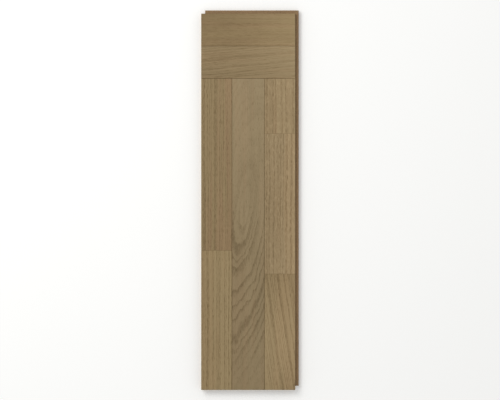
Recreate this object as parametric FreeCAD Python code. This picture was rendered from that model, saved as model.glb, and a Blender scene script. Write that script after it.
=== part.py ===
# Oak parquet block: eight oak strips glued to a fibreboard core, with a veneer on the back.
# Three rows of strips run along the block and two strips lie across its end.
# The core is milled with a groove on two sides and a tongue on the two sides opposite.
# Lengths are millimetres. X runs across the block, Y along it towards the cross strips, Z up.
# The origin is the middle of the block's face, on the underside.

import FreeCAD
import Part
import os

# Oak strips
strip_width = 50.0  # a strip as it is sawn: the middle row and the cross strips keep it
edge_trim = 2.5  # milled off the outer side of each outer row when the block is cut to width
row_length = 480.0  # the rows, from the plain end to the cross strips
left_first_length = 265.0  # in the left row, the strip beside the cross strips
right_first_length = 85.0  # in the right row, the strip beside the cross strips
right_second_length = 216.0  # in the right row, the strip after that one
oak_thickness = 3.0

# Easing of the strips' upper edges, at 45 degrees
edge_bevel = 0.6  # round the outside of the block
seam_bevel = 0.4  # between rows, and along the cross strips
butt_bevel = 0.2  # between the strips of one row

# Core and backing
core_above_groove = 2.6
core_below_groove = 2.0
backing_thickness = 2.0

# Tongue, and the groove that takes a neighbour's tongue
tongue_thickness = 4.2
tongue_length = 5.5
tongue_nose = 0.8  # bevel that leads the tongue in
groove_clearance = 0.1  # above the tongue, and below it
groove_pocket = 0.5  # room for glue past the tongue
under_gap = 0.4  # below the tongue the block stands back, so that the oak closes first

# Heights, from the underside up
groove_height = tongue_thickness + 2 * groove_clearance
core_bottom = backing_thickness
groove_bottom = core_bottom + core_below_groove
groove_top = groove_bottom + groove_height
core_top = groove_top + core_above_groove
oak_top = core_top + oak_thickness
tongue_bottom = groove_bottom + groove_clearance
tongue_top = groove_top - groove_clearance

# Plan of the block
block_width = 3 * strip_width - 2 * edge_trim
block_length = row_length + 2 * strip_width
groove_depth = tongue_length + groove_pocket
left_edge = -block_width / 2
right_edge = block_width / 2
plain_end = -block_length / 2
cross_end = block_length / 2
rows_end = plain_end + row_length
cross_seam = rows_end + strip_width
mill_reach = block_length + block_width + tongue_length  # half the run of a cutter, past every edge


def swept(section, place, run):
    """A closed section, given as (distance, height) points, swept from -run to +run."""
    start = [place(u, z) - run for u, z in section]
    return Part.Face(Part.makePolygon(start + start[:1])).extrude(2 * run)


def milled(section_across, section_along):
    """The solid that is left when a blank is milled to one section along Y and to another along X."""
    along_block = swept(
        section_across,
        lambda u, z: FreeCAD.Vector(u, 0, z),
        FreeCAD.Vector(0, mill_reach, 0),
    )
    across_block = swept(
        section_along,
        lambda u, z: FreeCAD.Vector(0, u, z),
        FreeCAD.Vector(mill_reach, 0, 0),
    )
    return along_block.common(across_block).removeSplitter().Solids[0]


def core_section(low, high):
    """Section of the core: the groove at the low side, the tongue at the high side."""
    nose = high + tongue_length
    back = high - under_gap
    floor = low + groove_depth
    return [
        (low, core_bottom),
        (back, core_bottom),
        (back, tongue_bottom),
        (nose - tongue_nose, tongue_bottom),
        (nose, tongue_bottom + tongue_nose),
        (nose, tongue_top - tongue_nose),
        (nose - tongue_nose, tongue_top),
        (high, tongue_top),
        (high, core_top),
        (low, core_top),
        (low, groove_top),
        (floor, groove_top),
        (floor, groove_bottom),
        (low, groove_bottom),
    ]


def backing_section(low, high):
    """Section of the backing, which stands back under the tongue with the core."""
    back = high - under_gap
    return [(low, 0), (back, 0), (back, backing_thickness), (low, backing_thickness)]


def strip_section(low, high, low_bevel, high_bevel):
    """Section of an oak strip with its two upper edges eased."""
    return [
        (low, core_top),
        (high, core_top),
        (high, oak_top - high_bevel),
        (high - high_bevel, oak_top),
        (low + low_bevel, oak_top),
        (low, oak_top - low_bevel),
    ]


def row_strips(name, low, high, low_bevel, high_bevel, lengths):
    """The strips of one row, from the cross strips to the plain end. The last one takes what is left."""
    joints = [rows_end]
    for length in lengths:
        joints.append(joints[-1] - length)
    joints.append(plain_end)
    across = strip_section(low, high, low_bevel, high_bevel)
    count = len(joints) - 1
    for n in range(count):
        upper_bevel = seam_bevel if n == 0 else butt_bevel
        lower_bevel = edge_bevel if n == count - 1 else butt_bevel
        along = strip_section(joints[n + 1], joints[n], lower_bevel, upper_bevel)
        node = name if count == 1 else f"{name}_{n + 1}"
        yield node, milled(across, along)


def cross_strips():
    """The two strips that lie across the end of the rows."""
    across = strip_section(left_edge, right_edge, edge_bevel, edge_bevel)
    inner = strip_section(rows_end, cross_seam, seam_bevel, seam_bevel)
    outer = strip_section(cross_seam, cross_end, seam_bevel, edge_bevel)
    yield "inner_cross_strip", milled(across, inner)
    yield "outer_cross_strip", milled(across, outer)


def block():
    """Every piece of the block, by name."""
    middle = strip_width / 2
    pieces = {
        "backing_veneer": milled(
            backing_section(left_edge, right_edge), backing_section(plain_end, cross_end)
        ),
        "core_board": milled(
            core_section(left_edge, right_edge), core_section(plain_end, cross_end)
        ),
    }
    pieces.update(cross_strips())
    left_lengths = [left_first_length]
    right_lengths = [right_first_length, right_second_length]
    pieces.update(row_strips("left_row_strip", left_edge, -middle, edge_bevel, seam_bevel, left_lengths))
    pieces.update(row_strips("middle_row_strip", -middle, middle, seam_bevel, seam_bevel, []))
    pieces.update(row_strips("right_row_strip", middle, right_edge, seam_bevel, edge_bevel, right_lengths))
    return pieces


os.makedirs("parts", exist_ok=True)
for node, solid in block().items():
    solid.exportStep(os.path.join("parts", node + ".step"))
    print(node, round(solid.Volume, 3), solid.isValid())
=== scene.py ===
import math
from typing import NamedTuple

import bpy
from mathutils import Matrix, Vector


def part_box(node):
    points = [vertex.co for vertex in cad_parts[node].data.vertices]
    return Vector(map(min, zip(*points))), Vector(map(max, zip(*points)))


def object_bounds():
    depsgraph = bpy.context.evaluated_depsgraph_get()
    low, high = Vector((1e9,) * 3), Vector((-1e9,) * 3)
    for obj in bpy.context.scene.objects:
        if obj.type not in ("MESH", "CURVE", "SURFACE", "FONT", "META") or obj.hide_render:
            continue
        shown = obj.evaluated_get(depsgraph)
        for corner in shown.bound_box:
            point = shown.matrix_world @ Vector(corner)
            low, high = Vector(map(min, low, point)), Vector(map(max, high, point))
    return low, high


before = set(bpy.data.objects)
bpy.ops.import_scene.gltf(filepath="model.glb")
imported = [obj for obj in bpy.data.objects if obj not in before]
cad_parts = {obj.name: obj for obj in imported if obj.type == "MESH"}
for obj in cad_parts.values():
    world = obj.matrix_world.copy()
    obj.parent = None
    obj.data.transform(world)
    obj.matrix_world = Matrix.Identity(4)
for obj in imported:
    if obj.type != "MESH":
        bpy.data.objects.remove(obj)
cad_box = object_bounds()
bpy.ops.object.select_all(action="DESELECT")

# An oak parquet block that lies on a pale floor, seen straight from above.
# Every piece is the solid from the frame. This script gives the pieces their finish.

MM = 0.001
PER_MM = 1 / MM
IMAGE_WIDTH, IMAGE_HEIGHT = 500, 400


def linear(hex_colour):
    """An sRGB hex colour, such as "#8e7b5c", as linear RGBA."""
    channels = [int(hex_colour[n:n + 2], 16) / 255 for n in (1, 3, 5)]
    curve = [c / 12.92 if c <= 0.04045 else ((c + 0.055) / 1.055) ** 2.4 for c in channels]
    return (*curve, 1.0)


def add(tree, kind, links=None, out=0, **settings):
    """Adds one node with its settings. links gives each socket a value or another node's output.
    Returns the output that out names, or each of them where out is a list."""
    made = tree.nodes.new("ShaderNode" + kind)
    for name, value in settings.items():
        setattr(made, name, value)
    for socket, source in (links or {}).items():
        if isinstance(source, bpy.types.NodeSocket):
            tree.links.new(source, made.inputs[socket])
        else:
            made.inputs[socket].default_value = source
    if isinstance(out, list):
        return [made.outputs[name] for name in out]
    return made.outputs[out]


# Settings of a Map Range node that eases in and out, and of a Mix node that mixes colours, with its sockets
SOFTLY = {"interpolation_type": "SMOOTHSTEP"}
COLOURS = {"data_type": "RGBA", "out": 2}
MIX_AMOUNT, MIX_FROM, MIX_TO = 0, 6, 7


def new_material(name):
    """A new material, with its node tree and its shader."""
    made = bpy.data.materials.new(name)
    made.use_nodes = True
    shader = made.node_tree.nodes["Principled BSDF"]
    return made, made.node_tree, shader


class Cut(NamedTuple):
    """How a strip was cut from its log, and what that leaves on its face. Lengths are millimetres.
    A row's strip starts at the cross strips, and its side is the right one. A cross strip starts
    at the left, and its side is the one at the block's end."""

    tone: str  # mean colour of the face
    warm: str  # colour of its warm streaks
    seed: float  # shifts the patterns, so that no two strips are alike
    heart: tuple  # the log's heart at mid length: from the strip's middle to its side, and above its face
    lean: float = 0.0  # how far the heart moves to the side for each millimetre along
    climb: float = 0.0  # how far it rises for each millimetre along
    ring: float = 4.2  # a year's growth
    wander: float = 3.0  # how far the grain strays from straight
    ripple: float = 0.0  # how far it waves in short ripples
    figure: float = 0.14  # how dark the lines of the years are
    figured: tuple = ()  # the shares of the length between which those lines show, if not all along
    porous: float = 0.36  # how dark the pores are
    clouds: float = 0.18  # how light and dark its broad clouds are
    fleck: float = 0.0  # how light the rays are
    fade: float = 0.0  # how much lighter its far end is than its middle
    ends: float = 0.0  # how much lighter both its ends are than its middle
    side: float = 0.0  # how much lighter its side is than its middle
    warm_side: float = 0.0  # more warm streaks at its side, or at the other side where it is negative


CUTS = {
    "outer_cross_strip": Cut(
        "#8b7652", "#8d7653", 41.0, (-160, 40), figure=0.03, porous=0.20, clouds=0.36, fade=0.17,
        ends=0.06,
    ),
    "inner_cross_strip": Cut(
        "#8d7957", "#8f7957", 122.0, (-70, -30), lean=0.10, figure=0.07, porous=0.20, clouds=0.26,
        fade=0.14, ends=0.09, side=0.09,
    ),
    "left_row_strip_1": Cut("#8a7653", "#8c7453", 217.0, (150, -60), fade=-0.04, warm_side=0.12),
    "left_row_strip_2": Cut("#917d59", "#937d59", 34.0, (-180, -40), side=0.03, warm_side=-0.2),
    "middle_row_strip": Cut(
        "#897757", "#8b7757", 54.0, (1, 22), lean=-0.13, climb=0.25, ring=5.6, wander=6.5, ripple=3.0,
        figure=0.17, figured=(0.46, 0.88), porous=0.32, fade=-0.09, ends=0.04, warm_side=-0.08,
    ),
    "right_row_strip_1": Cut(
        "#96815e", "#98815e", 243.0, (120, -200), figure=0.08, porous=0.30, fleck=0.12, fade=-0.02,
        side=0.09,
    ),
    "right_row_strip_2": Cut(
        "#95805e", "#98815e", 244.0, (150, -160), figure=0.10, fleck=0.12, fade=-0.01, ends=0.08,
        side=0.10, warm_side=0.2,
    ),
    "right_row_strip_3": Cut(
        "#96815d", "#98815d", 28.0, (-150, -60), lean=0.14, figure=0.18, fade=0.04, ends=-0.16,
        warm_side=0.2,
    ),
}

# Patterns in the oak: the length and width of their spots in millimetres, and their detail
OAK_PATTERNS = {
    "vessels": (8.0, 0.36, 1.0),  # real ones are 0.3 mm wide, drawn coarser so that they show
    "hairs": (24.0, 0.16, 1.0),
    "fibres": (90.0, 1.2, 3.0),
    "bands": (300.0, 8.0, 2.0),
    "clouds": (70.0, 26.0, 2.0),
    "rays": (8.0, 4.0, 1.0),
    "streaks": (170.0, 9.0, 3.0),
}
SEED_STEP = (613, 97, 41)  # millimetres by which one step of a seed shifts them
SPRING_ONSET, SPRING_END = 0.1, 0.62  # shares of a year in which the porous spring wood grows
GROWTH_TURNS = 0.37  # how many times a year growth turns between fast and slow
GROWTH_SWING = 3.0  # how many years that moves a ring
FIGURE_EDGE = 0.1  # share of the length over which the lines of the years come and go
FAINT_FIGURE = 0.25  # share of their darkness that is left beyond
SPRING_CROWD = 0.13  # how much more easily a pore opens in spring wood

# Levels of a pattern at which it starts to show, and shows in full
PORES_START, PORES_FULL = 0.62, 0.69
FLECKS_START, FLECKS_FULL = 0.5, 0.66
STREAKS_START, STREAKS_FULL = 0.42, 0.66

# The eased edges between strips get painted shade of their grooves, with oil and dust; the block's clean
# rim gets neither
SEAM_BOTTOM, SEAM_TOP = -0.4, -0.03  # millimetres above the face where a seam is darkest, and is clean
SEAM_SHADE = 0.2  # share of its colour that is left at the bottom
RIM_START, RIM_FULL = -0.8 * MM, -0.6 * MM  # past the block's edge, where its clean rim starts and is whole
DEEPENING = (0.9, 1.0, 1.2)  # darker wood loses more blue than red
BRUSHED_DEPTH = 0.05 * MM
OILED_ROUGHNESS, PORE_ROUGHNESS = 0.52, 0.75


def strip_frame(tree, node):
    """A strip's own frame, in millimetres from the middle of its face: X along the grain, Y to its side,
    Z up. Returns it with the strip's length and width."""
    low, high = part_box(node)
    size = (high - low) * PER_MM
    middle = (low + high) / 2 * PER_MM
    face = high.z * PER_MM
    if size.x > size.y:
        turn, start, length, width = 0.0, (-middle.x, -middle.y, -face), size.x, size.y
    else:
        turn, start, length, width = math.pi / 2, (middle.y, -middle.x, -face), size.y, size.x
    place = add(tree, "TexCoord", out="Object")
    strip = add(tree, "Mapping", {
        "Vector": place, "Location": start, "Rotation": (0, 0, turn), "Scale": (PER_MM,) * 3,
    })
    return strip, length, width


def growth_years(tree, strip, grain, cut):
    """Years of growth, counted from the heart of the log out, with the grain's wander."""
    log = add(tree, "Mapping", {
        "Vector": strip, "Location": (0, -cut.heart[0], -cut.heart[1]),
        "Rotation": (0, math.atan(cut.climb), -math.atan(cut.lean)),
    })
    # How long and wide each bend of the grain is, and how far it strays, in millimetres
    bends = (
        (180, 34, 2 * cut.wander),
        (60, 10, 0.6 * cut.wander),
        (8, 30, cut.ripple),
        (14, 3, 0.8),
        (30, 0.9, 1.2),
    )
    for long, wide, reach in bends:
        spots = add(tree, "Mapping", {"Vector": grain, "Scale": (1 / long, 1 / wide, 1 / wide)})
        stray = add(tree, "TexNoise", {"Vector": spots, "Scale": 1.0}, out="Color")
        log = add(tree, "VectorMath", {0: stray, 1: (0, reach, reach), 2: log}, operation="MULTIPLY_ADD")
    outwards = add(tree, "VectorMath", {0: log, 1: (0, 1, 1)}, operation="MULTIPLY")
    radius = add(tree, "VectorMath", {0: outwards}, out="Value", operation="LENGTH")
    years = add(tree, "Math", {0: radius, 1: cut.ring}, operation="DIVIDE")
    uneven = add(tree, "TexNoise", {
        "W": years, "Scale": GROWTH_TURNS, "Detail": 1.0,
    }, noise_dimensions="1D")
    return add(tree, "Math", {0: uneven, 1: GROWTH_SWING, 2: years}, operation="MULTIPLY_ADD")


def year_lines(tree, years, far, cut):
    """Spring wood: each year it starts at once and thins out into the dense summer wood."""
    season = add(tree, "Math", {0: years}, operation="FRACT")
    onset = add(tree, "MapRange", {"Value": season, "From Max": SPRING_ONSET}, **SOFTLY)
    ending = add(tree, "MapRange", {
        "Value": season, "From Min": SPRING_END, "From Max": SPRING_ONSET,
    }, **SOFTLY)
    lines = add(tree, "Math", {0: onset, 1: ending}, operation="MULTIPLY")
    # The lines come in round the first share of the length and go out round the second
    for share, edge in zip(cut.figured, (FIGURE_EDGE, -FIGURE_EDGE)):
        shown = add(tree, "MapRange", {
            "Value": far, "From Min": 2 * (share - edge) - 1, "From Max": 2 * (share + edge) - 1,
            "To Min": FAINT_FIGURE,
        }, **SOFTLY)
        lines = add(tree, "Math", {0: lines, 1: shown}, operation="MULTIPLY")
    return lines


def groove_shade_and_dust(tree, height):
    """How light an edge is: painted shade of the grooves between strips, with oil and dust, darkens their
    eased edges down to SEAM_SHADE.
    The block's own sides and the bevel round its face get none of it."""
    seam = add(tree, "MapRange", {
        "Value": height, "From Min": SEAM_BOTTOM, "From Max": SEAM_TOP, "To Min": SEAM_SHADE,
    })
    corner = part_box("outer_cross_strip")[1]
    place = add(tree, "TexCoord", out="Object")
    outwards = add(tree, "VectorMath", {0: place}, operation="ABSOLUTE")
    past = add(tree, "VectorMath", {0: outwards, 1: corner}, operation="SUBTRACT")
    past_side, past_end = add(tree, "SeparateXYZ", {0: past}, out=["X", "Y"])
    beyond = add(tree, "Math", {0: past_side, 1: past_end}, operation="MAXIMUM")
    rim = add(tree, "MapRange", {"Value": beyond, "From Min": RIM_START, "From Max": RIM_FULL})
    return add(tree, "Math", {0: seam, 1: rim}, operation="MAXIMUM")


def oiled_oak(node, cut):
    """Smoked oak, planed and brushed, with a matt oil. Straight or arched lines of open pores run
    through a grey-brown ground, with warmer streaks and, where it is cut along the rays, pale flecks."""
    material, tree, shader = new_material("smoked_oak_" + node)
    strip, length, width = strip_frame(tree, node)
    along, across, height = add(tree, "SeparateXYZ", {0: strip}, out=["X", "Y", "Z"])
    far = add(tree, "Math", {0: along, 1: 2 / length}, operation="MULTIPLY")
    ends = add(tree, "Math", {0: far, 1: far}, operation="MULTIPLY")
    side = add(tree, "Math", {0: across, 1: 2 / width}, operation="MULTIPLY")
    grain = add(tree, "VectorMath", {0: strip, 1: [cut.seed * step for step in SEED_STEP]})
    noise = {}
    for name, (long, wide, detail) in OAK_PATTERNS.items():
        spots = add(tree, "Mapping", {"Vector": grain, "Scale": (1 / long, 1 / wide, 1 / wide)})
        noise[name] = add(tree, "TexNoise", {"Vector": spots, "Scale": 1.0, "Detail": detail})

    years = growth_years(tree, strip, grain, cut)
    year = add(tree, "Math", {0: years}, operation="FLOOR")
    year_tone = add(tree, "TexWhiteNoise", {"W": year}, noise_dimensions="1D")
    lines = year_lines(tree, years, far, cut)
    crowd = add(tree, "Math", {0: lines, 1: SPRING_CROWD, 2: noise["vessels"]}, operation="MULTIPLY_ADD")
    pores = add(tree, "MapRange", {
        "Value": crowd, "From Min": PORES_START, "From Max": PORES_FULL,
    }, **SOFTLY)
    flecks = add(tree, "MapRange", {
        "Value": noise["rays"], "From Min": FLECKS_START, "From Max": FLECKS_FULL,
    }, **SOFTLY)

    # Each pattern, with how much it lightens the wood and its mean
    patterns = (
        (lines, -cut.figure, 0.25),
        (year_tone, 0.05, 0.5),
        (pores, -cut.porous, 0.12),
        (noise["hairs"], 0.22, 0.5),
        (noise["fibres"], 0.22, 0.5),
        (noise["bands"], 0.26, 0.5),
        (noise["clouds"], cut.clouds, 0.5),
        (flecks, cut.fleck, 0.3),
        (far, cut.fade, 0.0),
        (ends, cut.ends, 1 / 3),
        (side, cut.side, 0.0),
    )
    shade = 1.0 - sum(lightens * mean for pattern, lightens, mean in patterns)
    for pattern, lightens, mean in patterns:
        shade = add(tree, "Math", {0: pattern, 1: lightens, 2: shade}, operation="MULTIPLY_ADD")
    # Painted shade of the grooves between strips, with oil and dust
    shade = add(tree, "Math", {0: shade, 1: groove_shade_and_dust(tree, height)}, operation="MULTIPLY")

    streaks = add(tree, "Math", {0: side, 1: cut.warm_side, 2: noise["streaks"]}, operation="MULTIPLY_ADD")
    warmth = add(tree, "MapRange", {
        "Value": streaks, "From Min": STREAKS_START, "From Max": STREAKS_FULL,
    }, **SOFTLY)
    ground = add(tree, "Mix", {
        MIX_AMOUNT: warmth, MIX_FROM: linear(cut.tone), MIX_TO: linear(cut.warm),
    }, **COLOURS)
    deepened = add(tree, "VectorMath", {0: shade, 1: DEEPENING}, operation="POWER")
    colour = add(tree, "VectorMath", {0: ground, 1: deepened}, operation="MULTIPLY")
    tree.links.new(colour, shader.inputs["Base Color"])

    relief = add(tree, "Math", {0: pores, 1: -1.0, 2: noise["hairs"]}, operation="MULTIPLY_ADD")
    bump = add(tree, "Bump", {"Strength": 0.6, "Distance": BRUSHED_DEPTH, "Height": relief})
    tree.links.new(bump, shader.inputs["Normal"])
    roughness = add(tree, "MapRange", {
        "Value": pores, "To Min": OILED_ROUGHNESS, "To Max": PORE_ROUGHNESS,
    })
    tree.links.new(roughness, shader.inputs["Roughness"])
    shader.inputs["IOR"].default_value = 1.47
    shader.inputs["Specular IOR Level"].default_value = 0.3
    return material


TUFT_LONG, TUFT_THICK = 1.3, 0.3  # tufts of fibre, pressed flat, in millimetres
BARK_SCALE = 0.7  # how closely specks of bark can lie, where the tufts' is 1
BARK_START, BARK_FULL = 0.68, 0.74  # levels of the pattern at which bark starts to show, and shows in full
FELT_DARK, FELT_PALE = 0.25, 0.75  # levels of the darkest and the palest tufts
STAIN_SIZE = 25.0  # millimetres
LOOSE_HEART = 1.5 * MM  # half the thickness of the layer that was pressed least
FELT_DEPTH = 0.06 * MM


def dense_fibreboard():
    """Dense fibreboard, milled and raw: mid brown, felted, with dark specks of bark. Its fibres lie flat,
    so its edges show thin layers, and it was pressed hardest, and is darkest, at its two faces."""
    material, tree, shader = new_material("dense_fibreboard")
    low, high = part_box("core_board")
    place = add(tree, "TexCoord", out="Object")
    tufts = add(tree, "Mapping", {
        "Vector": place, "Scale": (PER_MM / TUFT_LONG, PER_MM / TUFT_LONG, PER_MM / TUFT_THICK),
    })
    felt = add(tree, "TexNoise", {"Vector": tufts, "Scale": 1.0, "Detail": 4.0, "Roughness": 0.65})
    stain = add(tree, "TexNoise", {"Vector": place, "Scale": PER_MM / STAIN_SIZE, "Detail": 2.0})
    bark = add(tree, "TexNoise", {"Vector": tufts, "Scale": BARK_SCALE, "Detail": 1.0})
    specks = add(tree, "MapRange", {"Value": bark, "From Min": BARK_START, "From Max": BARK_FULL})
    height = add(tree, "SeparateXYZ", {0: place}, out="Z")
    from_heart = add(tree, "Math", {0: height, 1: (low.z + high.z) / 2}, operation="SUBTRACT")
    outwards = add(tree, "Math", {0: from_heart}, operation="ABSOLUTE")
    pressed = add(tree, "MapRange", {
        "Value": outwards, "From Min": LOOSE_HEART, "From Max": (high.z - low.z) / 2,
    })
    paleness = add(tree, "MapRange", {"Value": felt, "From Min": FELT_DARK, "From Max": FELT_PALE})
    for pattern, lightens in ((stain, 0.4), (specks, -0.5), (pressed, -0.35)):
        paleness = add(tree, "Math", {0: pattern, 1: lightens, 2: paleness}, operation="MULTIPLY_ADD")
    colour = add(tree, "Mix", {
        MIX_AMOUNT: paleness, MIX_FROM: linear("#70583d"), MIX_TO: linear("#977b58"),
    }, **COLOURS)
    tree.links.new(colour, shader.inputs["Base Color"])
    bump = add(tree, "Bump", {"Strength": 0.5, "Distance": FELT_DEPTH, "Height": felt})
    tree.links.new(bump, shader.inputs["Normal"])
    shader.inputs["Roughness"].default_value = 0.85
    return material


# Patterns in the spruce: the width and length of their spots in millimetres, and their detail
SPRUCE_PATTERNS = {
    "hills": (30.0, 420.0, 2.0),
    "ripple": (6.0, 50.0, 1.0),
    "fibres": (0.5, 45.0, 2.0),
}
SPRUCE_RING = 1.6  # millimetres of growth in a year
RINGS_IN_HILL, RINGS_IN_RIPPLE, RINGS_AT_KNOT = 17.0, 0.5, 1.4  # how many rings each of these moves
LATE_ONSET, LATE_END = 0.35, 0.92  # shares of a year in which the late wood darkens
KNOT_APART = (45.0, 110.0)  # millimetres across and along
KNOT_CHANCE = 0.55  # share of the places for a knot that stay empty
NO_KNOT = 0.001  # size of the knot in such a place, where the largest is 1
# Of the largest knot, in shares of KNOT_APART: reach of the bent rings, rim, heart, and how ragged it is
KNOT_FLOW, KNOT_RIM, KNOT_HEART, KNOT_RAGGED = 0.45, 0.09, 0.06, 0.03
SPRUCE_DEPTH = 0.05 * MM


def peeled_spruce():
    """Peeled spruce veneer, raw: pale cream, where the rings open into wavy bands with a thin
    red-brown edge that flow round small knots, with fine fibres along it."""
    material, tree, shader = new_material("peeled_spruce")
    place = add(tree, "TexCoord", out="Object")
    sheet = add(tree, "Mapping", {"Vector": place, "Scale": (PER_MM,) * 3})
    noise = {}
    for name, (wide, long, detail) in SPRUCE_PATTERNS.items():
        spots = add(tree, "VectorMath", {0: sheet, 1: (1 / wide, 1 / long, 0)}, operation="MULTIPLY")
        noise[name] = add(tree, "TexNoise", {"Vector": spots, "Scale": 1.0, "Detail": detail})

    # A few small knots of different size, with ragged edges
    spread = add(tree, "VectorMath", {
        0: sheet, 1: (1 / KNOT_APART[0], 1 / KNOT_APART[1], 0),
    }, operation="MULTIPLY")
    away, cell = add(tree, "TexVoronoi", {
        "Vector": spread, "Scale": 1.0,
    }, out=["Distance", "Color"], voronoi_dimensions="2D")
    chance = add(tree, "SeparateColor", {0: cell}, out="Red")
    size = add(tree, "MapRange", {"Value": chance, "From Min": KNOT_CHANCE, "To Min": NO_KNOT})
    ragged = add(tree, "Math", {0: noise["ripple"], 1: KNOT_RAGGED, 2: away}, operation="MULTIPLY_ADD")
    apart = add(tree, "Math", {0: ragged, 1: size}, operation="DIVIDE")
    around = add(tree, "MapRange", {"Value": apart, "From Min": KNOT_FLOW, "From Max": 0.0}, **SOFTLY)
    knot = add(tree, "MapRange", {"Value": apart, "From Min": KNOT_RIM, "From Max": KNOT_HEART}, **SOFTLY)

    # The rings lie nearly flat in the sheet, follow the hills and part round the knots.
    # Each is slowly darker to its sharp late edge
    height = add(tree, "SeparateXYZ", {0: sheet}, out="Z")
    rings = add(tree, "Math", {0: height, 1: SPRUCE_RING}, operation="DIVIDE")
    moves = ((noise["hills"], RINGS_IN_HILL), (noise["ripple"], RINGS_IN_RIPPLE), (around, RINGS_AT_KNOT))
    for pattern, count in moves:
        rings = add(tree, "Math", {0: pattern, 1: count, 2: rings}, operation="MULTIPLY_ADD")
    season = add(tree, "Math", {0: rings}, operation="FRACT")
    late = add(tree, "MapRange", {"Value": season, "From Min": LATE_ONSET, "From Max": LATE_END}, **SOFTLY)
    over = add(tree, "MapRange", {"Value": season, "From Min": 1.0, "From Max": LATE_END}, **SOFTLY)
    edge = add(tree, "Math", {0: late, 1: over}, operation="MULTIPLY")
    redness = -0.1
    for pattern, reddens in ((noise["fibres"], 0.5), (edge, 0.55)):
        redness = add(tree, "Math", {0: pattern, 1: reddens, 2: redness}, operation="MULTIPLY_ADD")
    wood = add(tree, "Mix", {
        MIX_AMOUNT: redness, MIX_FROM: linear("#dfcaa4"), MIX_TO: linear("#bd976a"),
    }, **COLOURS)
    colour = add(tree, "Mix", {MIX_AMOUNT: knot, MIX_FROM: wood, MIX_TO: linear("#7d5636")}, **COLOURS)
    tree.links.new(colour, shader.inputs["Base Color"])
    bump = add(tree, "Bump", {"Strength": 0.4, "Distance": SPRUCE_DEPTH, "Height": noise["fibres"]})
    tree.links.new(bump, shader.inputs["Normal"])
    shader.inputs["Roughness"].default_value = 0.8
    return material


def finish_pieces():
    """Gives each solid its material."""
    finishes = {node: oiled_oak(node, cut) for node, cut in CUTS.items()}
    finishes["core_board"] = dense_fibreboard()
    finishes["backing_veneer"] = peeled_spruce()
    for node, material in finishes.items():
        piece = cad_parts[node]
        piece.data.materials.clear()
        piece.data.materials.append(material)


FLOOR_SIZE = 12.0
# Added to what the eye sees of the floor, so that it is white and keeps the shadow. The lamp's light
# ends away from the block, so more is added there
LIFT_NEAR, LIFT_FAR = 0.14, 0.42
NEAR, FAR = 0.5, 3.0


def seen_rays(tree):
    """1 for what the camera sees, by itself or in a reflection or through glass, and 0 for other rays."""
    camera, glossy, through = add(tree, "LightPath", out=[
        "Is Camera Ray", "Is Glossy Ray", "Is Transmission Ray",
    ])
    mirrored = add(tree, "Math", {0: camera, 1: glossy}, operation="MAXIMUM")
    return add(tree, "Math", {0: mirrored, 1: through}, operation="MAXIMUM")


def lay_floor():
    """A pale, matt studio floor."""
    bpy.ops.mesh.primitive_plane_add(size=FLOOR_SIZE, location=(0, 0, 0))
    floor = bpy.context.object
    floor.name = "floor"
    material, tree, shader = new_material("pale_floor")
    shader.inputs["Base Color"].default_value = linear("#f4f4f2")
    shader.inputs["Roughness"].default_value = 0.9
    shader.inputs["Specular IOR Level"].default_value = 0.0
    place = add(tree, "TexCoord", out="Object")
    away = add(tree, "VectorMath", {0: place}, out="Value", operation="LENGTH")
    lift = add(tree, "MapRange", {
        "Value": away, "From Min": NEAR, "From Max": FAR, "To Min": LIFT_NEAR, "To Max": LIFT_FAR,
    }, **SOFTLY)
    lift = add(tree, "Math", {0: lift, 1: seen_rays(tree)}, operation="MULTIPLY")
    shader.inputs["Emission Color"].default_value = linear("#ffffff")
    tree.links.new(lift, shader.inputs["Emission Strength"])
    floor.data.materials.append(material)


WORLD_LEVEL = 0.62
LAMP_POWER = 20.0
LAMP_SIZE = 1.2
LAMP_PLACE = Vector((-1.0, 0.9, 1.7))


def light_scene():
    """Soft even light: a white world, and one large lamp from the upper left."""
    world = bpy.data.worlds.new("studio")
    world.use_nodes = True
    bpy.context.scene.world = world
    tree = world.node_tree
    background = tree.nodes["Background"]
    background.inputs["Color"].default_value = linear("#ffffff")
    # It is seen at full strength, and lights the block at WORLD_LEVEL
    strength = add(tree, "MapRange", {"Value": seen_rays(tree), "To Min": WORLD_LEVEL})
    tree.links.new(strength, background.inputs["Strength"])
    lamp = bpy.data.lights.new("soft_lamp", "AREA")
    lamp.energy = LAMP_POWER
    lamp.size = LAMP_SIZE
    holder = bpy.data.objects.new("soft_lamp", lamp)
    holder.location = LAMP_PLACE
    holder.rotation_euler = (-LAMP_PLACE).to_track_quat("-Z", "Y").to_euler()
    bpy.context.scene.collection.objects.link(holder)


CAMERA_HEIGHT = 3.0
FRAME_FILL = 0.95  # share of the picture's height that the block takes
SENSOR = 36.0


def place_camera():
    """Looks straight down, the cross strips at the top of the picture."""
    low, high = (Vector(corner) for corner in cad_box)
    middle = (low + high) / 2
    camera = bpy.data.cameras.new("camera")
    camera.sensor_width = SENSOR
    view_width = (high.y - low.y) / FRAME_FILL * IMAGE_WIDTH / IMAGE_HEIGHT
    camera.lens = SENSOR * (CAMERA_HEIGHT - high.z) / view_width
    holder = bpy.data.objects.new("camera", camera)
    holder.location = (middle.x, middle.y, CAMERA_HEIGHT)
    bpy.context.scene.collection.objects.link(holder)
    bpy.context.scene.camera = holder


finish_pieces()
lay_floor()
light_scene()
place_camera()
bpy.context.scene.view_settings.view_transform = "Standard"
